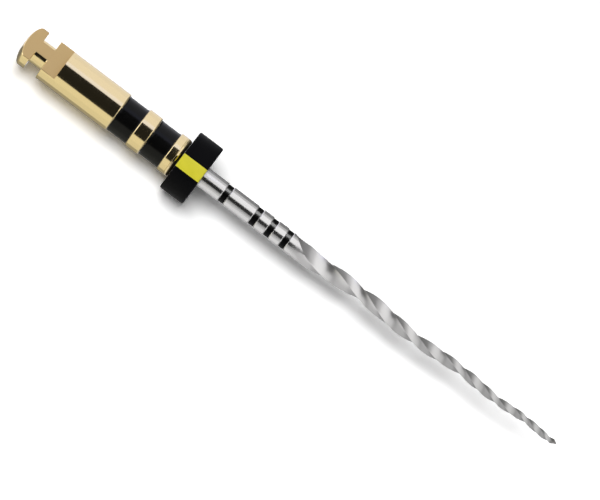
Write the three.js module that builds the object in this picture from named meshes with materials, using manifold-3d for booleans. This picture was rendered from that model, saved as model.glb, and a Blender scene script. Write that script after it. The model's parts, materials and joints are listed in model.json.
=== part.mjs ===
// A rotary endodontic file, 25 mm, for the latch of a contra-angle handpiece.
// Millimetres. The file's axis is +X, from the latch end of its handle to its tip,
// the origin is the middle of that end, and the latch's drive flat faces +Z.
// x is always measured from the latch end, and a depth from the tip.

import * as THREE from 'three';
import { mergeVertices } from 'three/addons/utils/BufferGeometryUtils.js';
import Module from 'manifold-3d';

// The handle, a latch-type shank with its end in the handpiece.
const HANDLE_LENGTH = 10.33;
const SHANK_DIAMETER = 2.35;
const DOME_HEIGHT = 0.43;
const HEAD_LENGTH = 0.78;
const NECK_LENGTH = 0.8;
const NECK_DIAMETER = 1.4;
const FLAT_LENGTH = 2.46;
const FLAT_HEIGHT = 0.59;
const NOSE_LENGTH = 0.37;
const NOSE_DROP = 0.16;
const BORE_FLOOR = 2;

// Two colour rings in grooves round the handle, counted back from the nose.
const RING_LENGTH = 1.255;
const RING_THICKNESS = 0.15;
const RING_RECESS = 0.1;
const FRONT_LAND = 0.715;
const MIDDLE_LAND = 0.855;

// The blank, one wire with a plain shaft and a ground blade.
const WORKING_LENGTH = 25.07;
const SHAFT_DIAMETER = 1.14;
const BOND_THICKNESS = 0.07;
const BOND_SETBACK = 0.12;

// The blade has a rectangular section that stands off centre, so that only the two corners
// of its far face reach the cutting envelope. Face distances are shares of its radius.
const TIP_DIAMETER = 0.4;
const TAPER = 0.05;
const POINT_LENGTH = 0.36;
const FAR_FACE = 0.707;
const SIDE_FACE = 0.7;
const NEAR_FACE = 0.355;
const QUARTER_TURN_AT_TIP = 0.62;
const QUARTER_TURN_GROWTH = 0.112;
const START_TURN = THREE.MathUtils.degToRad(-149.4);
const RUN_OUT_LENGTH = 1.8;
const WHEEL_RADIUS = 5;

// Four depth bands in grooves round the shaft. The flutes stop short of the first.
const FIRST_BAND_DEPTH = 18;
const BAND_STEPS = [0, 1, 2, 4];
const BAND_LENGTH = 0.35;
const BAND_THICKNESS = 0.03;
const BAND_RECESS = 0.04;
const FLUTE_MARGIN = 0.3;

// The silicone stop, with a coloured mark let into its rim.
const STOP_DIAMETER = 3.66;
const STOP_LENGTH = 1.52;
const STOP_EDGE = 0.08;
const MARK_WIDTH = 0.84;
const MARK_DEPTH = 0.45;
const MARK_TURN = THREE.MathUtils.degToRad(27.7);

// Clearances.
const FIT_GAP = 0.01;
const SLIDE_GAP = 0.02;

const HANDLE_SIDES = 36;
const WIRE_SIDES = 24;
const STEPS_PER_QUARTER_TURN = 5;
const SHANK_RADIUS = SHANK_DIAMETER / 2;
const SHAFT_RADIUS = SHAFT_DIAMETER / 2;
const BORE_START = FLAT_LENGTH + BORE_FLOOR;
const TIP_X = HANDLE_LENGTH + WORKING_LENGTH;
const FLUTED_LENGTH = FIRST_BAND_DEPTH - FLUTE_MARGIN;
const STOP_X = HANDLE_LENGTH + SLIDE_GAP;

const wasm = await Module();
wasm.setup();

// The radius whose many-sided hole clears a round piece by gap, even at its flats.
function boreRound(radius, gap, sides) {
  return (radius + gap) / Math.cos(Math.PI / sides);
}

// Turns an outline of [x, radius] points about the X axis.
function turned(outline, sides) {
  const profile = outline.map(([x, radius]) => new THREE.Vector2(radius, x));
  return new THREE.LatheGeometry(profile, sides).rotateZ(-Math.PI / 2);
}

// The outline of a plain ring between two radii.
function ringOutline(start, length, inner, outer) {
  const end = start + length;
  return [[start, inner], [start, outer], [end, outer], [end, inner], [start, inner]];
}

function solidOf(geometry) {
  const bare = geometry.clone();
  bare.deleteAttribute('normal');
  bare.deleteAttribute('uv');
  const merged = mergeVertices(bare);
  return new wasm.Manifold(new wasm.Mesh({
    numProp: 3,
    vertProperties: merged.attributes.position.array,
    triVerts: new Uint32Array(merged.index.array),
  }));
}

function geometryOf(solid) {
  const { vertProperties, triVerts } = solid.getMesh();
  const geometry = new THREE.BufferGeometry();
  geometry.setAttribute('position', new THREE.BufferAttribute(vertProperties, 3));
  geometry.setIndex(new THREE.BufferAttribute(triVerts, 1));
  const faceted = geometry.toNonIndexed();
  faceted.computeVertexNormals();
  return faceted;
}

function piece(name, geometry, color, roughness, metalness) {
  const material = new THREE.MeshStandardMaterial({ color, roughness, metalness });
  const mesh = new THREE.Mesh(geometry, material);
  mesh.name = name;
  return mesh;
}

// Where the two colour rings start, the rear one first.
const frontRingX = HANDLE_LENGTH - FRONT_LAND - RING_LENGTH;
const ringStarts = [frontRingX - MIDDLE_LAND - RING_LENGTH, frontRingX];
const ringGrooveRadius = SHANK_RADIUS - RING_RECESS - RING_THICKNESS;

// The shank is turned with its dome, neck, ring grooves, nose and bore, and then has its
// drive flat milled.
function latchShank() {
  const arcSteps = 6;
  const outline = [];
  for (let i = 0; i <= arcSteps; i += 1) {
    const angle = (i / arcSteps) * (Math.PI / 2);
    outline.push([DOME_HEIGHT * (1 - Math.cos(angle)), SHANK_RADIUS * Math.sin(angle)]);
  }
  const neckEnd = HEAD_LENGTH + NECK_LENGTH;
  outline.push([HEAD_LENGTH, SHANK_RADIUS], [HEAD_LENGTH, NECK_DIAMETER / 2]);
  outline.push([neckEnd, NECK_DIAMETER / 2], [neckEnd, SHANK_RADIUS]);
  for (const start of ringStarts) {
    const end = start + RING_LENGTH;
    outline.push([start, SHANK_RADIUS], [start, ringGrooveRadius]);
    outline.push([end, ringGrooveRadius], [end, SHANK_RADIUS]);
  }
  for (let i = 0; i <= arcSteps; i += 1) {
    const angle = (i / arcSteps) * (Math.PI / 2);
    outline.push([
      HANDLE_LENGTH - NOSE_LENGTH * (1 - Math.sin(angle)),
      SHANK_RADIUS - NOSE_DROP * (1 - Math.cos(angle)),
    ]);
  }
  const bore = boreRound(SHAFT_RADIUS, BOND_THICKNESS + 2 * FIT_GAP, HANDLE_SIDES);
  outline.push([HANDLE_LENGTH, bore], [BORE_START, bore], [BORE_START, 0]);

  const cutterLength = FLAT_LENGTH + SHANK_DIAMETER;
  const cutter = new THREE.BoxGeometry(cutterLength, 2 * SHANK_DIAMETER, SHANK_DIAMETER);
  cutter.translate(FLAT_LENGTH - cutterLength / 2, 0, FLAT_HEIGHT + SHANK_DIAMETER / 2);
  return geometryOf(solidOf(turned(outline, HANDLE_SIDES)).subtract(solidOf(cutter)));
}

function colourRing(start) {
  const inner = boreRound(ringGrooveRadius, FIT_GAP, HANDLE_SIDES);
  const outer = SHANK_RADIUS - RING_RECESS;
  const length = RING_LENGTH - 2 * FIT_GAP;
  return turned(ringOutline(start + FIT_GAP, length, inner, outer), HANDLE_SIDES);
}

// The cured adhesive round the blank, from the bottom of the bore to just inside its mouth.
function bondSleeve() {
  const inner = boreRound(SHAFT_RADIUS, FIT_GAP, WIRE_SIDES);
  const outer = SHAFT_RADIUS + FIT_GAP + BOND_THICKNESS;
  const start = BORE_START + FIT_GAP;
  const length = HANDLE_LENGTH - BOND_SETBACK - start;
  return turned(ringOutline(start, length, inner, outer), WIRE_SIDES);
}

const bandCentres = BAND_STEPS.map((step) => TIP_X - FIRST_BAND_DEPTH - step);
const bandGrooveRadius = SHAFT_RADIUS - BAND_RECESS - BAND_THICKNESS - 2 * FIT_GAP;

function depthBand(centre) {
  const inner = boreRound(bandGrooveRadius, FIT_GAP, WIRE_SIDES);
  const outer = SHAFT_RADIUS - BAND_RECESS;
  const length = BAND_LENGTH - 2 * FIT_GAP;
  return turned(ringOutline(centre - length / 2, length, inner, outer), WIRE_SIDES);
}

// Quarter turns of the flutes between the tip and a depth. Their pitch grows with the depth.
function quarterTurns(depth) {
  return Math.log(1 + (QUARTER_TURN_GROWTH * depth) / QUARTER_TURN_AT_TIP) / QUARTER_TURN_GROWTH;
}

function depthAtTurns(turns) {
  return (QUARTER_TURN_AT_TIP / QUARTER_TURN_GROWTH) * (Math.exp(QUARTER_TURN_GROWTH * turns) - 1);
}

// The radius of the cutting envelope: a straight taper that ends in a short point.
function envelopeRadius(depth) {
  const taperRadius = (TIP_DIAMETER + TAPER * Math.max(depth, POINT_LENGTH)) / 2;
  return taperRadius * Math.min(1, depth / POINT_LENGTH);
}

// How far the grinding wheel has lifted out of the blade, near the end of its flutes.
function wheelLift(depth) {
  const past = Math.max(0, depth - (FLUTED_LENGTH - RUN_OUT_LENGTH));
  return WHEEL_RADIUS - Math.sqrt(Math.max(0, WHEEL_RADIUS ** 2 - past ** 2));
}

// The blade's radius at a depth, at an angle from the middle of its far face.
function bladeRadius(depth, angle) {
  const envelope = envelopeRadius(depth);
  const lift = wheelLift(depth);
  const distances = [FAR_FACE, SIDE_FACE, NEAR_FACE, SIDE_FACE];
  let radius = SHAFT_RADIUS;
  distances.forEach((share, side) => {
    const facing = Math.cos(angle - (side * Math.PI) / 2);
    if (facing > 0) radius = Math.min(radius, (share * envelope + lift) / facing);
  });
  return radius;
}

// The angles of the blank's edges round its axis, with one on each corner of the section.
function edgeAngles() {
  const farCorner = Math.atan2(SIDE_FACE, FAR_FACE);
  const nearCorner = Math.atan2(SIDE_FACE, -NEAR_FACE);
  const corners = [-farCorner, farCorner, nearCorner, 2 * Math.PI - nearCorner, 2 * Math.PI - farCorner];
  const sideEdges = [6, 5, 8, 5];
  const angles = [];
  sideEdges.forEach((count, side) => {
    for (let i = 0; i < count; i += 1) {
      angles.push(THREE.MathUtils.lerp(corners[side], corners[side + 1], i / count));
    }
  });
  return angles;
}

// The blank is turned with its band grooves, and then each of its points in the blade is
// drawn in to the ground section and turned with the flutes.
function fileBlank() {
  const outline = [[BORE_START + FIT_GAP, 0], [BORE_START + FIT_GAP, SHAFT_RADIUS]];
  for (const centre of [...bandCentres].reverse()) {
    const start = centre - BAND_LENGTH / 2;
    const end = centre + BAND_LENGTH / 2;
    outline.push([start, SHAFT_RADIUS], [start, bandGrooveRadius]);
    outline.push([end, bandGrooveRadius], [end, SHAFT_RADIUS]);
  }
  const startTurns = quarterTurns(FLUTED_LENGTH);
  const pointTurns = quarterTurns(POINT_LENGTH);
  const steps = Math.ceil((startTurns - pointTurns) * STEPS_PER_QUARTER_TURN);
  for (let i = 0; i <= steps; i += 1) {
    const depth = depthAtTurns(THREE.MathUtils.lerp(startTurns, pointTurns, i / steps));
    outline.push([TIP_X - depth, SHAFT_RADIUS]);
  }
  outline.push([TIP_X, 0]);

  const geometry = turned(outline, WIRE_SIDES);
  const angles = edgeAngles();
  const points = geometry.attributes.position;
  for (let i = 0; i < points.count; i += 1) {
    const [x, shaftRadius] = outline[i % outline.length];
    const angle = angles[Math.floor(i / outline.length) % WIRE_SIDES];
    const depth = TIP_X - x;
    const inBlade = depth < FLUTED_LENGTH + FIT_GAP;
    const radius = inBlade ? Math.min(shaftRadius, bladeRadius(depth, angle)) : shaftRadius;
    const turns = startTurns - quarterTurns(Math.min(depth, FLUTED_LENGTH));
    const heading = START_TURN + angle + (turns * Math.PI) / 2;
    points.setXYZ(i, x, radius * Math.cos(heading), radius * Math.sin(heading));
  }
  geometry.computeVertexNormals();
  return geometry;
}

// The stop's whole disc, before the slot for its mark is cut.
function stopDisc() {
  const radius = STOP_DIAMETER / 2;
  const bore = boreRound(SHAFT_RADIUS, SLIDE_GAP, HANDLE_SIDES);
  const end = STOP_X + STOP_LENGTH;
  const outline = [
    [STOP_X, bore],
    [STOP_X, radius - STOP_EDGE],
    [STOP_X + STOP_EDGE, radius],
    [end - STOP_EDGE, radius],
    [end, radius - STOP_EDGE],
    [end, bore],
    [STOP_X, bore],
  ];
  return solidOf(turned(outline, HANDLE_SIDES));
}

// The block that the mark takes up at the top of the rim, less a margin on each side.
function markBlock(margin) {
  const floor = STOP_DIAMETER / 2 - MARK_DEPTH + margin;
  const block = new THREE.BoxGeometry(2 * STOP_LENGTH, MARK_WIDTH - 2 * margin, STOP_DIAMETER);
  block.translate(STOP_X + STOP_LENGTH / 2, 0, floor + STOP_DIAMETER / 2);
  return solidOf(block);
}

const GOLD = 0xdcc88c;
const RING_BLACK = 0x1c1c1d;
const NITINOL = 0xb9b7b4;
const BAND_BLACK = 0x0a0a0a;
const STOP_BLACK = 0x0d0d0f;
const MARK_YELLOW = 0xd2cb3c;
const BOND_AMBER = 0xb9a27a;

const file = new THREE.Group();
file.add(piece('latch_shank', latchShank(), GOLD, 0.22, 1));
file.add(piece('rear_colour_ring', colourRing(ringStarts[0]), RING_BLACK, 0.45, 0));
file.add(piece('front_colour_ring', colourRing(ringStarts[1]), RING_BLACK, 0.45, 0));
file.add(piece('bond_sleeve', bondSleeve(), BOND_AMBER, 0.5, 0));
file.add(piece('file_blank', fileBlank(), NITINOL, 0.3, 1));
BAND_STEPS.forEach((step, i) => {
  const name = `depth_band_${FIRST_BAND_DEPTH + step}`;
  file.add(piece(name, depthBand(bandCentres[i]), BAND_BLACK, 0.3, 0));
});

const stop = new THREE.Group();
const slotted = stopDisc().subtract(markBlock(0));
const mark = stopDisc().intersect(markBlock(FIT_GAP));
stop.add(piece('silicone_stop', geometryOf(slotted), STOP_BLACK, 0.6, 0));
stop.add(piece('direction_mark', geometryOf(mark), MARK_YELLOW, 0.55, 0));
stop.rotation.x = MARK_TURN;
file.add(stop);

export default file;
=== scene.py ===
import json
import math

import bmesh
import bpy
from mathutils import Matrix, Vector

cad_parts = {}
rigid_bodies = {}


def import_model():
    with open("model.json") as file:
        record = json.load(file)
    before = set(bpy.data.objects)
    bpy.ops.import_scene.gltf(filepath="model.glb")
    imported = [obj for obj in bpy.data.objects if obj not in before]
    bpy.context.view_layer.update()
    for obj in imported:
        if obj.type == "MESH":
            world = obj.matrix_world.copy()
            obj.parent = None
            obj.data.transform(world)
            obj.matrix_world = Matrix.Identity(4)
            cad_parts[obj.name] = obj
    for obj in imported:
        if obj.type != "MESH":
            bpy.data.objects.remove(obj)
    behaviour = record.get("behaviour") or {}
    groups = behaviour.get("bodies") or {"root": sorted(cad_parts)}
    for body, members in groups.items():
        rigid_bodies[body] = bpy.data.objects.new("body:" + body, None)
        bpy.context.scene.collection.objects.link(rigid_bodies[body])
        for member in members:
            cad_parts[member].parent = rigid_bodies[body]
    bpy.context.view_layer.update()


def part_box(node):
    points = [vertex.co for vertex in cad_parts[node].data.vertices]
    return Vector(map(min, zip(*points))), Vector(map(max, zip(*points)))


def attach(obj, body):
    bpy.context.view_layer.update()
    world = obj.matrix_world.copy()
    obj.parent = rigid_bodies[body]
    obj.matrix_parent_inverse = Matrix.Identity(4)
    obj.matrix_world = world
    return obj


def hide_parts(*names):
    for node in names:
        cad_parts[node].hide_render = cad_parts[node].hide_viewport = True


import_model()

# The camera. A long lens looks down on the file from the side that its stop's mark faces, and
# the file lies across its view from the upper left to the lower right. Sizes here and in the
# sections that follow are in millimetres.
MM = 0.001
VIEW_TURN = math.radians(27.7)
VIEW_ROLL = math.radians(37.1)
VIEW_WIDTH = 31.84
VIEW_MIDDLE = 18.32
LENS = 1000
SENSOR = 36
CLIP_NEAR = 10
CLIP_FAR = 10000

along = Vector((1, 0, 0))
across = Vector((0, math.cos(VIEW_TURN), math.sin(VIEW_TURN)))
toward_camera = Vector((0, -math.sin(VIEW_TURN), math.cos(VIEW_TURN)))
view_right = along * math.cos(VIEW_ROLL) + across * math.sin(VIEW_ROLL)
view_up = across * math.cos(VIEW_ROLL) - along * math.sin(VIEW_ROLL)
view_distance = VIEW_WIDTH * LENS / SENSOR

bpy.ops.object.select_all(action="DESELECT")
bpy.ops.object.camera_add(
    location=(along * VIEW_MIDDLE + toward_camera * view_distance) * MM,
    rotation=Matrix((view_right, view_up, toward_camera)).transposed().to_euler(),
)
camera = bpy.context.object
camera.data.lens = LENS
camera.data.sensor_width = SENSOR
camera.data.clip_start = CLIP_NEAR * MM
camera.data.clip_end = CLIP_FAR * MM
bpy.context.scene.camera = camera
bpy.context.scene.view_settings.view_transform = "Standard"

# The studio. The stop's rim rests on a white table, which a soft lamp overhead and two weaker
# ones light. The camera sees white beyond the table, where the metal mirrors a dim room.
TABLE_SIZE = 4000
TABLE_GAP = 0.002
TABLE_WHITE = 1.35
ROOM_RADIANCE = 0.018
BACKDROP_RADIANCE = 0.95

bpy.ops.mesh.primitive_grid_add(size=TABLE_SIZE * MM, x_subdivisions=4, y_subdivisions=4)
table = bpy.context.object
table.name = "table"
table.location = (0, 0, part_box("silicone_stop")[0].z - TABLE_GAP * MM)
table.visible_glossy = False


class Value:
    """One output of a shader node. A sum of values adds the nodes that work it out."""

    def __init__(self, paint, socket):
        self.paint = paint
        self.socket = socket

    def __add__(self, other):
        return self.paint.math("ADD", self, other)

    def __mul__(self, other):
        return self.paint.math("MULTIPLY", self, other)

    def __rsub__(self, other):
        return self.paint.math("SUBTRACT", other, self)

    __radd__ = __add__
    __rmul__ = __mul__


class Paint:
    """One material. It adds every node by its type, its settings and what goes into its
    sockets, which are named, or numbered as in i0 and i1."""

    def __init__(self, name):
        self.material = bpy.data.materials.new(name)
        self.material.use_nodes = True
        self.tree = self.material.node_tree
        self.tree.nodes.clear()
        place = self.node("ShaderNodeTexCoord", output="Object")
        self.place = self.vector("SCALE", place, Scale=1 / MM)

    def node(self, kind, settings=None, output=0, **sockets):
        node = self.tree.nodes.new(kind)
        for name, value in (settings or {}).items():
            setattr(node, name, value)
        for name, value in sockets.items():
            key = int(name[1:]) if name[1:].isdigit() else name.replace("_", " ")
            if isinstance(value, Value):
                self.tree.links.new(value.socket, node.inputs[key])
            else:
                node.inputs[key].default_value = value
        return Value(self, node.outputs[output]) if node.outputs else None

    def math(self, operation, first, second):
        return self.node("ShaderNodeMath", {"operation": operation}, i0=first, i1=second)

    def vector(self, operation, first, **sockets):
        return self.node("ShaderNodeVectorMath", {"operation": operation}, i0=first, **sockets)

    def part(self, axis):
        return self.node("ShaderNodeSeparateXYZ", output=axis, Vector=self.place)

    def ramp(self, value, low, high):
        settings = {"interpolation_type": "SMOOTHSTEP"}
        sockets = {"Value": value, "From_Min": low, "From_Max": high}
        return self.node("ShaderNodeMapRange", settings, **sockets)

    def noise(self, stretch, detail=2.0, roughness=0.5):
        spread = self.vector("MULTIPLY", self.place, i1=stretch)
        sockets = {"Vector": spread, "Scale": 1.0, "Detail": detail, "Roughness": roughness}
        return self.node("ShaderNodeTexNoise", {}, **sockets)

    def mix(self, share, first, second):
        settings = {"data_type": "RGBA"}
        return self.node("ShaderNodeMix", settings, 2, i0=share, i6=first, i7=second)

    def bump(self, height, depth):
        return self.node("ShaderNodeBump", Height=height, Distance=depth * MM)

    def onto(self, *pieces, **sockets):
        shader = self.node("ShaderNodeBsdfPrincipled", **sockets)
        self.node("ShaderNodeOutputMaterial", Surface=shader)
        for piece in pieces:
            piece.data.materials.clear()
            piece.data.materials.append(self.material)


def colour(red, green, blue):
    return red, green, blue, 1.0


white = Paint("table_white")
white_shader = white.node("ShaderNodeBsdfDiffuse", Color=colour(*[TABLE_WHITE] * 3))
white.node("ShaderNodeOutputMaterial", Surface=white_shader)
table.data.materials.append(white.material)

world = bpy.data.worlds.new("studio_room")
bpy.context.scene.world = world
world.use_nodes = True
backdrop = world.node_tree.nodes.new("ShaderNodeMapRange")
backdrop.inputs["To Min"].default_value = ROOM_RADIANCE
backdrop.inputs["To Max"].default_value = BACKDROP_RADIANCE
rays = world.node_tree.nodes.new("ShaderNodeLightPath")
world.node_tree.links.new(rays.outputs["Is Camera Ray"], backdrop.inputs["Value"])
world.node_tree.links.new(
    backdrop.outputs["Result"], world.node_tree.nodes["Background"].inputs["Color"]
)
world.cycles_visibility.diffuse = False


def lamp(name, turn, distance, middle, length, width, radiance, tint=(1, 1, 1)):
    """A soft lamp that faces the file from a turn about it, in radians from straight up
    toward the near side. Its middle is a place along the file."""
    outward = Vector((0, -math.sin(turn), math.cos(turn)))
    bpy.ops.object.light_add(
        type="AREA",
        location=(along * middle + outward * distance) * MM,
        rotation=(turn, 0, 0),
    )
    light = bpy.context.object
    light.name = name
    light.data.shape = "RECTANGLE"
    light.data.size = length * MM
    light.data.size_y = width * MM
    light.data.energy = radiance * math.pi * length * width * MM * MM
    light.data.color = tint
    light.visible_camera = False
    return light


KEY_TURN = math.radians(5)
KEY_HEIGHT = 150
KEY_SETBACK = 48
KEY_WIDTH = 120
KEY_RADIANCE = 5.0
FILL_TURN = math.radians(50)
FILL_DISTANCE = 200
FILL_WIDTH = 300
FILL_RADIANCE = 0.4
TIP_FILL_HEIGHT = 12
TIP_FILL_MIDDLE = 40
TIP_FILL_WIDTH = 10
TIP_FILL_RADIANCE = 2.4

key_middle = VIEW_MIDDLE - KEY_SETBACK
key = lamp("key", KEY_TURN, KEY_HEIGHT, key_middle, KEY_WIDTH, KEY_WIDTH, KEY_RADIANCE)
key.data.shape = "DISK"
fill = lamp(
    "fill", FILL_TURN, FILL_DISTANCE, VIEW_MIDDLE, FILL_WIDTH, FILL_WIDTH, FILL_RADIANCE
)
tip_fill = lamp(
    "tip_fill", 0, TIP_FILL_HEIGHT, TIP_FILL_MIDDLE, TIP_FILL_WIDTH, TIP_FILL_WIDTH,
    TIP_FILL_RADIANCE,
)
for light in (key, fill, tip_fill):
    light.visible_glossy = False

# Long soft panels stand round the file, and they are what its polished metal mirrors. The
# handle has its own set, and so have the shaft and the blade. A wall closes each end.
PANEL_DISTANCE = 20
REAR_WALL = -60
HANDLE_PANELS_END = 11.1
BLADE_PANELS_START = 19.6
FACING_PANEL_START = 20.6
FRONT_WALL = 95
WALL_SIZE = 60
WALL_RADIANCE = 0.8


def panel(name, turns, reach, radiance, tint=(1, 1, 1)):
    """A panel between two turns about the file, in degrees from straight up toward the near
    side, and between two places along it. It shines on nothing that isn't a mirror."""
    start, end = (math.radians(turn) for turn in turns)
    width = 2 * PANEL_DISTANCE * math.tan((end - start) / 2)
    turn = (start + end) / 2
    length = reach[1] - reach[0]
    light = lamp(name, turn, PANEL_DISTANCE, sum(reach) / 2, length, width, radiance, tint)
    light.visible_diffuse = False


cool = (1.0, 1.0, 1.08)
warm = (1.0, 0.98, 0.83)
handle_reach = (REAR_WALL, HANDLE_PANELS_END)
panel("far_strip", (-26, -7), handle_reach, 1.05, (1.0, 1.05, 1.4))
panel("far_upper", (-70, -26), handle_reach, 1.0, cool)
panel("far_side", (-110, -70), handle_reach, 0.95, cool)
panel("far_low", (-155, -110), handle_reach, 0.85, cool)
panel("near_side", (67, 100), handle_reach, 0.92, warm)
panel("near_low", (100, 140), handle_reach, 0.85, warm)
panel("near_under", (140, 175), handle_reach, 0.4, (1.0, 0.98, 0.85))
panel("under", (175, 205), handle_reach, 0.22, (1.0, 0.99, 0.95))
wire_reach = (HANDLE_PANELS_END, FRONT_WALL)
panel("shaft_top", (-38, 20), wire_reach, 1.08)
panel("shaft_far", (-66, -38), wire_reach, 0.6)
panel("shaft_far_side", (-110, -66), wire_reach, 0.25)
panel("shaft_far_low", (-155, -110), wire_reach, 0.15)
panel("shaft_near", (61, 78), wire_reach, 0.4)
panel("shaft_near_side", (78, 98), wire_reach, 0.62)
shaft_reach = (HANDLE_PANELS_END, BLADE_PANELS_START)
panel("shaft_near_low", (98, 150), shaft_reach, 0.87)
panel("shaft_under", (150, 205), shaft_reach, 0.6)
blade_reach = (BLADE_PANELS_START, FRONT_WALL)
facing_reach = (FACING_PANEL_START, FRONT_WALL)
panel("blade_facing", (20, 61), facing_reach, 0.85)
panel("blade_near_low", (98, 150), blade_reach, 0.62)
panel("blade_under", (150, 205), blade_reach, 0.4)
rear_reach = (-100, -8)
panel("rear_end", (-7, 67), rear_reach, 2.0)
for name, middle, turn in (
    ("rear_wall", REAR_WALL, -math.pi / 2),
    ("front_wall", FRONT_WALL, math.pi / 2),
):
    wall = lamp(name, 0, 0, middle, WALL_SIZE, WALL_SIZE, WALL_RADIANCE)
    wall.rotation_euler = (0, turn, 0)
    wall.visible_diffuse = False


# The handle is turned from one brass bar: a domed head, a neck for the handpiece's latch, two
# ring grooves, a fine line before the rounded nose, and a bore for the wire. The drive flat
# is milled across its end. It is all gold plated and polished.
SAME_PLACE = 1e-4
SHARP_EDGE = math.radians(32)


def select_near(piece, *places):
    """Selects the points of an outline that are at these places, each along the file and out."""
    bpy.ops.mesh.select_all(action="DESELECT")
    mesh = bmesh.from_edit_mesh(piece.data)
    for point in mesh.verts:
        point.select = any(
            abs(point.co.x - x) < SAME_PLACE and abs(point.co.z - out) < SAME_PLACE
            for x, out in places
        )
    mesh.select_flush(True)
    bmesh.update_edit_mesh(piece.data)


def turned(name, corners, closed=False, sides=144):
    """Turns an outline about the file's axis. A corner is its place along the file, its
    distance from the axis and, where its edge is rounded, by how much, in millimetres."""
    bpy.ops.object.select_all(action="DESELECT")
    bpy.ops.mesh.primitive_plane_add(size=1)
    piece = bpy.context.object
    piece.name = piece.data.name = name
    bpy.ops.object.mode_set(mode="EDIT")
    bpy.ops.mesh.merge(type="CENTER")
    x, out = 0, 0
    for i, corner in enumerate(corners):
        step = {"value": (corner[0] - x, 0, corner[1] - out)}
        if i == 0:
            bpy.ops.transform.translate(**step)
        else:
            bpy.ops.mesh.extrude_region_move(TRANSFORM_OT_translate=step)
        x, out = corner[:2]
    if closed:
        select_near(piece, corners[0][:2], corners[-1][:2])
        bpy.ops.mesh.edge_face_add()
    for corner in corners:
        if len(corner) == 3:
            select_near(piece, corner[:2])
            bpy.ops.mesh.bevel(offset=corner[2], segments=4, affect="VERTICES")
    bpy.ops.mesh.select_all(action="SELECT")
    bpy.ops.mesh.spin(steps=sides, angle=2 * math.pi, center=(0, 0, 0), axis=(1, 0, 0))
    bpy.ops.mesh.select_all(action="SELECT")
    bpy.ops.mesh.remove_doubles(threshold=1e-5)
    bpy.ops.mesh.normals_make_consistent(inside=False)
    bpy.ops.object.mode_set(mode="OBJECT")
    return piece


def block(name, low, high):
    """A milling tool's block between two corners, in millimetres."""
    bpy.ops.object.select_all(action="DESELECT")
    bpy.ops.mesh.primitive_cube_add(size=1)
    tool = bpy.context.object
    tool.name = name
    tool.location = (Vector(low) + Vector(high)) / 2
    tool.scale = Vector(high) - Vector(low)
    bpy.ops.object.transform_apply(location=True, scale=True)
    return tool


def cut(piece, tool, operation):
    """Cuts a piece with a tool, which is then put away."""
    modifier = piece.modifiers.new("cut", "BOOLEAN")
    modifier.operation = operation
    modifier.solver = "EXACT"
    modifier.object = tool
    bpy.context.view_layer.objects.active = piece
    bpy.ops.object.modifier_apply(modifier=modifier.name)
    bpy.data.objects.remove(tool)


def finished(piece, body, slot, *nodes):
    """Shades a piece with its large faces flat up to their rounded edges, brings it from
    millimetres to its real size, and puts it on its body."""
    bpy.ops.object.select_all(action="DESELECT")
    piece.select_set(True)
    bpy.context.view_layer.objects.active = piece
    bpy.ops.object.shade_smooth_by_angle(angle=SHARP_EDGE)
    modifier = piece.modifiers.new("large_faces_flat", "WEIGHTED_NORMAL")
    modifier.keep_sharp = True
    modifier.thresh = 0
    bpy.ops.object.modifier_apply(modifier=modifier.name)
    piece.scale = (MM, MM, MM)
    bpy.ops.object.transform_apply(scale=True)
    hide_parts(*nodes)
    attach(piece, body)


def along_file(node):
    """Where a node starts and ends along the file, and its radius, in millimetres."""
    low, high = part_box(node)
    return low.x / MM, high.x / MM, high.y / MM


HANDLE_LENGTH, HANDLE_RADIUS = along_file("latch_shank")[1:]
FIT_GAP = 0.01
DOME_HEIGHT = 0.43
HEAD_LENGTH = 0.78
HEAD_EDGE = 0.03
NECK_END = 1.58
NECK_RADIUS = 0.7
NECK_CORNER = 0.05
FLAT_LENGTH = 2.46
FLAT_HEIGHT = 0.59
FLAT_CHAMFER = 0.02
FLAT_CHAMFER_DEPTH = 0.014
FLAT_TOLERANCE = 0.001
FACING_UP = 0.99
GROOVE_EDGE = 0.08
RING_THICKNESS = 0.15
NOSE_LENGTH = 0.27
NOSE_DROP = 0.12
NOSE_LINE_WIDTH = 0.013
NOSE_LINE_DEPTH = 0.011
BORE_RADIUS = 0.67
BORE_START = 4.46
BORE_EDGE = 0.04
ARC_STEPS = 16

arc = [math.pi / 2 * i / ARC_STEPS for i in range(ARC_STEPS + 1)]
handle_outline = [
    (DOME_HEIGHT * (1 - math.cos(turn)), HANDLE_RADIUS * math.sin(turn)) for turn in arc
]
handle_outline += [
    (HEAD_LENGTH, HANDLE_RADIUS, HEAD_EDGE),
    (HEAD_LENGTH, NECK_RADIUS, NECK_CORNER),
    (NECK_END, NECK_RADIUS, NECK_CORNER),
    (NECK_END, HANDLE_RADIUS, HEAD_EDGE),
]
for ring in ("rear_colour_ring", "front_colour_ring"):
    start, end, outer = along_file(ring)
    groove_radius = outer - RING_THICKNESS - FIT_GAP
    handle_outline += [
        (start - FIT_GAP, HANDLE_RADIUS, GROOVE_EDGE),
        (start - FIT_GAP, groove_radius),
        (end + FIT_GAP, groove_radius),
        (end + FIT_GAP, HANDLE_RADIUS, GROOVE_EDGE),
    ]
nose_start = HANDLE_LENGTH - NOSE_LENGTH
handle_outline += [
    (nose_start - 2 * NOSE_LINE_WIDTH, HANDLE_RADIUS),
    (nose_start - NOSE_LINE_WIDTH, HANDLE_RADIUS - NOSE_LINE_DEPTH),
]
handle_outline += [
    (
        HANDLE_LENGTH - NOSE_LENGTH * (1 - math.sin(turn)),
        HANDLE_RADIUS - NOSE_DROP * (1 - math.cos(turn)),
    )
    for turn in arc
]
handle_outline += [
    (HANDLE_LENGTH, BORE_RADIUS, BORE_EDGE),
    (BORE_START, BORE_RADIUS),
    (BORE_START, 0),
]
handle = turned("handle", handle_outline)
clear = 2 * HANDLE_RADIUS
mill = block("mill", (-clear, -clear, FLAT_HEIGHT), (FLAT_LENGTH, clear, clear))
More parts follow.
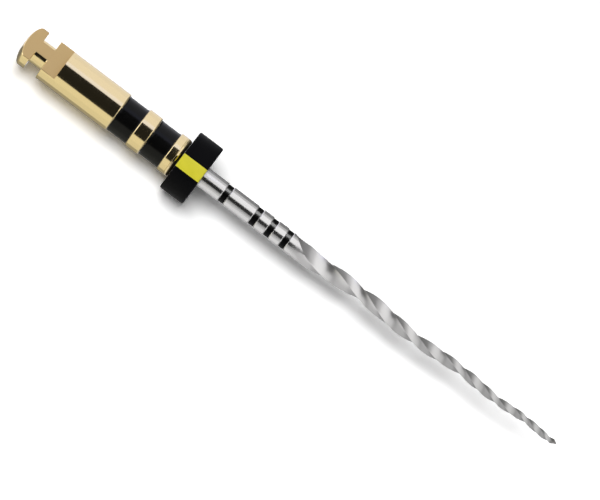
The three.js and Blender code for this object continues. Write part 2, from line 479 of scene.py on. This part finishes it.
cut(handle, mill, "DIFFERENCE")

# The flat's outline loses its sharp edge, apart from the corner under the shoulder.
bpy.ops.object.mode_set(mode="EDIT")
bpy.ops.mesh.select_all(action="DESELECT")
mesh = bmesh.from_edit_mesh(handle.data)
for face in mesh.faces:
    height = face.calc_center_median().z
    face.select = face.normal.z > FACING_UP and abs(height - FLAT_HEIGHT) < FLAT_TOLERANCE
bmesh.update_edit_mesh(handle.data)
bpy.ops.mesh.inset(thickness=FLAT_CHAMFER, use_boundary=True)
bpy.ops.mesh.region_to_loop()
bpy.ops.mesh.mark_sharp()
bpy.ops.mesh.loop_to_region()
bpy.ops.mesh.select_more(use_face_step=True)
mesh = bmesh.from_edit_mesh(handle.data)
rim = {
    point
    for face in mesh.faces
    if face.select and face.normal.z > FACING_UP
    for point in face.verts
    if not all(f.select for f in point.link_faces)
}
bpy.ops.mesh.select_all(action="DESELECT")
for point in mesh.verts:
    point.select = point in rim and point.co.x < FLAT_LENGTH - FLAT_TOLERANCE
mesh.select_flush(True)
bmesh.update_edit_mesh(handle.data)
bpy.ops.transform.translate(value=(0, 0, -FLAT_CHAMFER_DEPTH))
bpy.ops.object.mode_set(mode="OBJECT")

finished(handle, "file", "gold_plate", "latch_shank")

FLAT_FINISH_REACH = 0.012
FLAT_FINISH_FADE = 0.008
FLAT_FINISH_END = 0.01
gold = Paint("polished_gold_plate")
gold_x, gold_z = gold.part("X"), gold.part("Z")
finish_low = FLAT_HEIGHT - FLAT_FINISH_REACH
finish_high = FLAT_HEIGHT + FLAT_FINISH_REACH
on_flat = (
    gold.ramp(gold_z, finish_low, finish_low + FLAT_FINISH_FADE)
    * gold.ramp(finish_high - gold_z, 0, FLAT_FINISH_FADE)
    * gold.ramp(FLAT_LENGTH + FLAT_FINISH_END - gold_x, 0, FLAT_FINISH_END)
)
lathe_marks = gold.noise((34, 0.4, 0.4), detail=3)
mill_marks = gold.noise((3, 26, 1), detail=2)
tarnish = gold.noise((0.9, 0.9, 0.9), detail=4, roughness=0.6)
plate = gold.mix(tarnish, colour(0.78, 0.63, 0.35), colour(0.82, 0.67, 0.38))
gold.onto(
    handle,
    Base_Color=gold.mix(on_flat, plate, colour(0.55, 0.385, 0.165)),
    Metallic=1.0,
    Roughness=0.1 + 0.03 * tarnish + 0.03 * lathe_marks + 0.27 * on_flat,
    Normal=gold.bump(lathe_marks + on_flat * mill_marks, 0.0004),
)

# Each colour ring is black epoxy lacquer, run into its groove and baked. It lies below the
# gold, and it creeps a little way up both walls.
RING_CREEP = 0.03
CREEP_EDGE = 0.01
CREEP_FILLET = 0.05


def lacquer(name, node):
    start, end, outer = along_file(node)
    inner = outer - RING_THICKNESS
    ring = turned(
        name,
        [
            (start, inner),
            (start, outer + RING_CREEP, CREEP_EDGE),
            (start + 2 * RING_CREEP, outer, CREEP_FILLET),
            (end - 2 * RING_CREEP, outer, CREEP_FILLET),
            (end, outer + RING_CREEP, CREEP_EDGE),
            (end, inner),
        ],
        closed=True,
    )
    finished(ring, "file", "ring_black", node)
    return ring


black = Paint("baked_black_lacquer")
orange_peel = black.noise((5, 5, 5), detail=2)
specks = black.noise((30, 30, 30), detail=1)
black.onto(
    lacquer("rear_ring", "rear_colour_ring"),
    lacquer("front_ring", "front_colour_ring"),
    Base_Color=black.mix(specks, colour(0.0015, 0.0015, 0.0015), colour(0.003, 0.003, 0.003)),
    Roughness=0.14 + 0.1 * orange_peel,
    Specular_IOR_Level=0.15,
    Normal=black.bump(orange_peel, 0.002),
)

# The bond is cured amber adhesive between the wire and the bore. It stops just inside the
# nose, where it draws up the wire and the wall.
BOND_THICKNESS = 0.068
MENISCUS_DEPTH = 0.03
MENISCUS_ROUNDING = 0.02
bond_start, bond_end, bond_outer = along_file("bond_sleeve")
bond_inner = bond_outer - BOND_THICKNESS
bond_middle = (bond_inner + bond_outer) / 2
bond = turned(
    "bond",
    [
        (bond_start, bond_inner),
        (bond_start, bond_outer),
        (bond_end, bond_outer),
        (bond_end - MENISCUS_DEPTH, bond_middle, MENISCUS_ROUNDING),
        (bond_end, bond_inner),
    ],
    closed=True,
)
finished(bond, "file", "bond_resin", "bond_sleeve")
resin = Paint("cured_amber_resin")
clouding = resin.noise((4, 4, 4), detail=3)
resin.onto(
    bond,
    Base_Color=resin.mix(clouding, colour(0.42, 0.30, 0.12), colour(0.52, 0.40, 0.20)),
    Roughness=0.18 + 0.2 * clouding,
    Normal=resin.bump(clouding, 0.004),
)

# The blank is one nickel-titanium wire: its end in the handle, the bright drawn shaft with
# the depth bands' grooves, and the blade, cut by grinding. The blade's colour darkens toward
# the tip, partly for the dull finish that grinding leaves and partly as painted shade. Its
# section is a rectangle off centre with hollow sides, wrung tighter and tighter toward the tip.
BLANK_START, TIP, SHAFT_RADIUS = along_file("file_blank")
BLANK_EDGE = 0.05
BANDS = ["depth_band_18", "depth_band_19", "depth_band_20", "depth_band_22"]
BAND_FLARE = 0.03
BAND_FLARE_EDGE = 0.01
BAND_LIP_EDGE = 0.005
BAND_GROOVE_RADIUS = 0.485
POINT_LENGTH = 0.36
POINT_EDGE = 0.03
TIP_DIAMETER = 0.4
TAPER = 0.05
FAR_FACE = 0.707
SIDE_FACE = 0.7
NEAR_FACE = 0.355
HOLLOW = 0.05
QUARTER_TURN_AT_TIP = 0.62
QUARTER_TURN_GROWTH = 0.112
START_TURN = math.radians(-149.4)
FLUTED_LENGTH = 17.7
RUN_OUT_LENGTH = 1.8
WHEEL_RADIUS = 5
STEPS_PER_QUARTER_TURN = 14
BAR_PAST_BLANK = 1
BAR_PAST_FLUTES = 0.3
BAR_PAST_TIP = 0.1
BAR_CORNER = 0.03
SIDE_CUTS = 7
CUT_SHARES = (0, 0.25, 0.5, 0.75)
CUT_TOLERANCE = 0.05
SIDE_TOLERANCE = 0.001

blank_outline = [(BLANK_START, 0), (BLANK_START, SHAFT_RADIUS, BLANK_EDGE)]
lip_radius = SHAFT_RADIUS - BAND_FLARE
for node in reversed(BANDS):
    band_start, band_end, _ = along_file(node)
    start, end = band_start - FIT_GAP, band_end + FIT_GAP
    blank_outline += [
        (start - BAND_FLARE, SHAFT_RADIUS, BAND_FLARE_EDGE),
        (start, lip_radius, BAND_LIP_EDGE),
        (start, BAND_GROOVE_RADIUS),
        (end, BAND_GROOVE_RADIUS),
        (end, lip_radius, BAND_LIP_EDGE),
        (end + BAND_FLARE, SHAFT_RADIUS, BAND_FLARE_EDGE),
    ]
point_base = TIP_DIAMETER / 2 + TAPER * POINT_LENGTH / 2
blank_outline += [
    (TIP - FLUTED_LENGTH + 2 * RUN_OUT_LENGTH, SHAFT_RADIUS),
    (TIP - POINT_LENGTH, point_base, POINT_EDGE),
    (TIP, 0),
]
blank = turned("blank", blank_outline)


def quarter_turns(depth):
    """How many quarter turns the flutes make between the tip and a depth from it."""
    growth = QUARTER_TURN_GROWTH
    return math.log(1 + growth * depth / QUARTER_TURN_AT_TIP) / growth


def depth_at(turns):
    """The depth from the tip at which the flutes have made so many quarter turns."""
    growth = QUARTER_TURN_GROWTH
    return QUARTER_TURN_AT_TIP / growth * (math.exp(growth * turns) - 1)


def section(depth):
    """The blade's half width, half height and offset at a depth, and how it is turned."""
    envelope = (TIP_DIAMETER + TAPER * max(depth, 0)) / 2
    run_out_start = FLUTED_LENGTH - RUN_OUT_LENGTH
    past = min(max(0, depth - run_out_start), RUN_OUT_LENGTH + BAR_PAST_FLUTES)
    lift = WHEEL_RADIUS - math.sqrt(WHEEL_RADIUS**2 - past**2)
    half_height = (FAR_FACE + NEAR_FACE) / 2 * envelope + lift
    offset = (FAR_FACE - NEAR_FACE) / 2 * envelope
    turns = quarter_turns(FLUTED_LENGTH) - quarter_turns(min(max(depth, 0), FLUTED_LENGTH))
    return SIDE_FACE * envelope + lift, half_height, offset, START_TURN + turns * math.pi / 2


depths = [TIP - BLANK_START + BAR_PAST_BLANK, FLUTED_LENGTH + BAR_PAST_FLUTES]
last_turn = quarter_turns(FLUTED_LENGTH)
for i in range(math.ceil(last_turn * STEPS_PER_QUARTER_TURN) + 1):
    depths.append(depth_at(last_turn - i / STEPS_PER_QUARTER_TURN))
depths = [depth for depth in depths if depth > 0] + [-BAR_PAST_TIP]

# The bar that the blade is made of is drawn out straight and then wrung.
bpy.ops.object.select_all(action="DESELECT")
bpy.ops.mesh.primitive_plane_add(size=2)
bar = bpy.context.object
bpy.ops.object.mode_set(mode="EDIT")
bpy.ops.transform.rotate(value=math.pi / 2, orient_axis="Y", center_override=(0, 0, 0))
bpy.ops.mesh.delete(type="ONLY_FACE")
bpy.ops.mesh.select_all(action="SELECT")
bpy.ops.mesh.bevel(offset=BAR_CORNER, segments=2, affect="VERTICES")
bpy.ops.mesh.select_all(action="DESELECT")
mesh = bmesh.from_edit_mesh(bar.data)
for edge in mesh.edges:
    edge.select = edge.calc_length() > 1
bmesh.update_edit_mesh(bar.data)
bpy.ops.mesh.subdivide(number_cuts=SIDE_CUTS)
for share in CUT_SHARES:
    depth_left = 1 - HOLLOW * (1 - share**2)
    for axis, value in ((1, (1, depth_left, 1)), (2, (1, 1, depth_left))):
        bpy.ops.mesh.select_all(action="DESELECT")
        mesh = bmesh.from_edit_mesh(bar.data)
        for point in mesh.verts:
            on_side = abs(point.co[axis]) > 1 - SIDE_TOLERANCE
            here = abs(abs(point.co[3 - axis]) - share) < CUT_TOLERANCE
            point.select = on_side and here
        mesh.select_flush(True)
        bmesh.update_edit_mesh(bar.data)
        bpy.ops.transform.resize(value=value, center_override=(0, 0, 0))
bpy.ops.mesh.select_all(action="SELECT")
half_width, half_height, offset, _ = section(depths[0])
bpy.ops.transform.resize(value=(1, half_width, half_height), center_override=(0, 0, 0))
bpy.ops.transform.translate(value=(TIP - depths[0], 0, offset))
for previous, depth in zip(depths, depths[1:]):
    old_width, old_height, old_offset, _ = section(previous)
    half_width, half_height, offset, _ = section(depth)
    step = {"value": (previous - depth, 0, 0)}
    bpy.ops.mesh.extrude_region_move(TRANSFORM_OT_translate=step)
    bpy.ops.transform.resize(
        value=(1, half_width / old_width, half_height / old_height),
        center_override=(0, 0, old_offset),
    )
    bpy.ops.transform.translate(value=(0, 0, offset - old_offset))
for depth in depths:
    bpy.ops.mesh.select_all(action="DESELECT")
    mesh = bmesh.from_edit_mesh(bar.data)
    for point in mesh.verts:
        point.select = abs(point.co.x - TIP + depth) < SAME_PLACE
    mesh.select_flush(True)
    bmesh.update_edit_mesh(bar.data)
    if depth in (depths[0], depths[-1]):
        bpy.ops.mesh.edge_face_add()
    wrung = math.pi / 2 - section(depth)[3]
    bpy.ops.transform.rotate(value=wrung, orient_axis="X", center_override=(0, 0, 0))
bpy.ops.mesh.select_all(action="SELECT")
bpy.ops.mesh.normals_make_consistent(inside=False)
bpy.ops.object.mode_set(mode="OBJECT")
cut(blank, bar, "INTERSECT")
finished(blank, "file", "nickel_titanium", "file_blank")

FLUTES_START = TIP - FLUTED_LENGTH
GROUND_START = FLUTES_START - 0.1
GROUND_END = FLUTES_START + 0.6
# Between these two places the blade's colour darkens toward the tip: partly the dull finish that
# grinding leaves, partly painted shade.
GROUND_AND_SHADE_START = FLUTES_START + 1
GROUND_AND_SHADE_END = TIP - 2.5
DARK_START = TIP - 0.45
DARK_END = TIP - 0.3
wire = Paint("nickel_titanium_with_painted_shade")
wire_x = wire.part("X")
on_blade = wire.ramp(wire_x, GROUND_START, GROUND_END)
on_point = wire.ramp(wire_x, DARK_START, DARK_END)
grinding = wire.noise((42, 5, 5), detail=3)
drawing = wire.noise((1.5, 30, 30), detail=2)
clouds = wire.noise((1.2, 1.2, 1.2), detail=3)
drawn = wire.mix(clouds, colour(0.70, 0.69, 0.685), colour(0.76, 0.75, 0.745))
# The blade's darker colour: partly the dull finish that grinding leaves, partly painted shade.
ground_and_painted_shade = wire.mix(clouds, colour(0.50, 0.495, 0.49), colour(0.56, 0.555, 0.55))
metal = wire.mix(wire.ramp(wire_x, GROUND_AND_SHADE_START, GROUND_AND_SHADE_END), drawn, ground_and_painted_shade)
wire.onto(
    blank,
    Base_Color=wire.mix(on_point, metal, colour(0.36, 0.35, 0.34)),
    Metallic=1.0,
    Roughness=0.17 + 0.04 * clouds + on_blade * (0.09 + 0.08 * grinding),
    Normal=wire.bump(drawing * 0.4 + on_blade * grinding, 0.0008),
)

# Each depth band is a ring of glossy black enamel in its groove, rounded at its shoulders.
# One more lamp shines on the bands alone, because enamel mirrors so little of the panels.
BAND_EDGE = 0.015
BAND_GAP = 0.002
SHINE_TURN = math.radians(-20)
SHINE_MIDDLE = 14.5
SHINE_LENGTH = 8
SHINE_WIDTH = 12
SHINE_RADIANCE = 75

enamel_bands = []
for node in BANDS:
    start, end, outer = along_file(node)
    inner = BAND_GROOVE_RADIUS + BAND_GAP
    band = turned(
        "enamel_" + node[-2:],
        [(start, inner), (start, outer, BAND_EDGE), (end, outer, BAND_EDGE), (end, inner)],
        closed=True,
        sides=96,
    )
    finished(band, "file", "band_black", node)
    enamel_bands.append(band)
enamel = Paint("glossy_black_enamel")
flow = enamel.noise((6, 6, 6), detail=2)
enamel.onto(
    *enamel_bands,
    Base_Color=enamel.mix(flow, colour(0.001, 0.001, 0.001), colour(0.002, 0.002, 0.002)),
    Roughness=0.2 + 0.08 * flow,
    Specular_IOR_Level=0.06,
    Normal=enamel.bump(flow, 0.003),
)
shine = lamp(
    "band_shine", SHINE_TURN, PANEL_DISTANCE, SHINE_MIDDLE, SHINE_LENGTH, SHINE_WIDTH,
    SHINE_RADIANCE,
)
shine.visible_diffuse = False
shine.light_linking.receiver_collection = bpy.data.collections.new("band_shine_falls_on")
for band in enamel_bands:
    shine.light_linking.receiver_collection.objects.link(band)

# The stop is moulded in black silicone rubber and pushed on the wire. It has a rounded rim
# with the mould's parting line round it, a countersunk bore, and a slot for its mark.
stop_low, stop_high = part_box("silicone_stop")
STOP_START = stop_low.x / MM
STOP_END = stop_high.x / MM
RIM_GAP = 0.001
STOP_RADIUS = stop_high.z / MM - RIM_GAP
STOP_EDGE = 0.08
STOP_BORE = 0.592
COUNTERSINK = 0.05
PARTING_LINE_HEIGHT = 0.006
PARTING_LINE_WIDTH = 0.04
MARK_TURN = math.radians(27.7)
MARK_WIDTH = 0.84
MARK_DEPTH = 0.45
CUT_PAST_STOP = 1

stop_middle = (STOP_START + STOP_END) / 2
line_start = stop_middle - PARTING_LINE_WIDTH / 2
line_end = stop_middle + PARTING_LINE_WIDTH / 2
rim_radius = STOP_RADIUS - PARTING_LINE_HEIGHT


def stop_disc(name):
    return turned(
        name,
        [
            (STOP_START, STOP_BORE, COUNTERSINK),
            (STOP_START, rim_radius, STOP_EDGE),
            (line_start, rim_radius),
            (stop_middle, STOP_RADIUS),
            (line_end, rim_radius),
            (STOP_END, rim_radius, STOP_EDGE),
            (STOP_END, STOP_BORE, COUNTERSINK),
        ],
        closed=True,
    )


def mark_block(gap):
    """The space of the mark less a gap all round, turned to its place on the rim."""
    half = MARK_WIDTH / 2 - gap
    floor = STOP_RADIUS - MARK_DEPTH + gap
    tool = block(
        "mark_block",
        (STOP_START - CUT_PAST_STOP, -half, floor),
        (STOP_END + CUT_PAST_STOP, half, STOP_RADIUS + CUT_PAST_STOP),
    )
    tool.rotation_euler = (MARK_TURN, 0, 0)
    bpy.ops.object.transform_apply(rotation=True)
    return tool


stop = stop_disc("stop")
cut(stop, mark_block(0), "DIFFERENCE")
finished(stop, "stop", "stop_black", "silicone_stop")
rubber = Paint("black_silicone_rubber")
skin = rubber.noise((9, 9, 9), detail=4, roughness=0.65)
bloom = rubber.noise((1.1, 1.1, 1.1), detail=3)
rubber.onto(
    stop,
    Base_Color=rubber.mix(bloom, colour(0.0015, 0.0015, 0.002), colour(0.003, 0.003, 0.0035)),
    Roughness=0.36 + 0.2 * skin,
    Specular_IOR_Level=0.045,
    Normal=rubber.bump(skin, 0.006),
)

# The mark is yellow silicone, moulded into the slot flush with the rim. It points the way
# that a curved root runs.
mark = stop_disc("mark")
cut(mark, mark_block(FIT_GAP), "INTERSECT")
finished(mark, "stop", "mark_yellow", "direction_mark")
yellow = Paint("yellow_silicone_rubber")
mottle = yellow.noise((2.5, 2.5, 2.5), detail=3)
pores = yellow.noise((11, 11, 11), detail=3, roughness=0.6)
yellow.onto(
    mark,
    Base_Color=yellow.mix(mottle, colour(0.60, 0.55, 0.018), colour(0.68, 0.625, 0.03)),
    Roughness=0.4 + 0.2 * pores,
    Normal=yellow.bump(pores, 0.005),
)
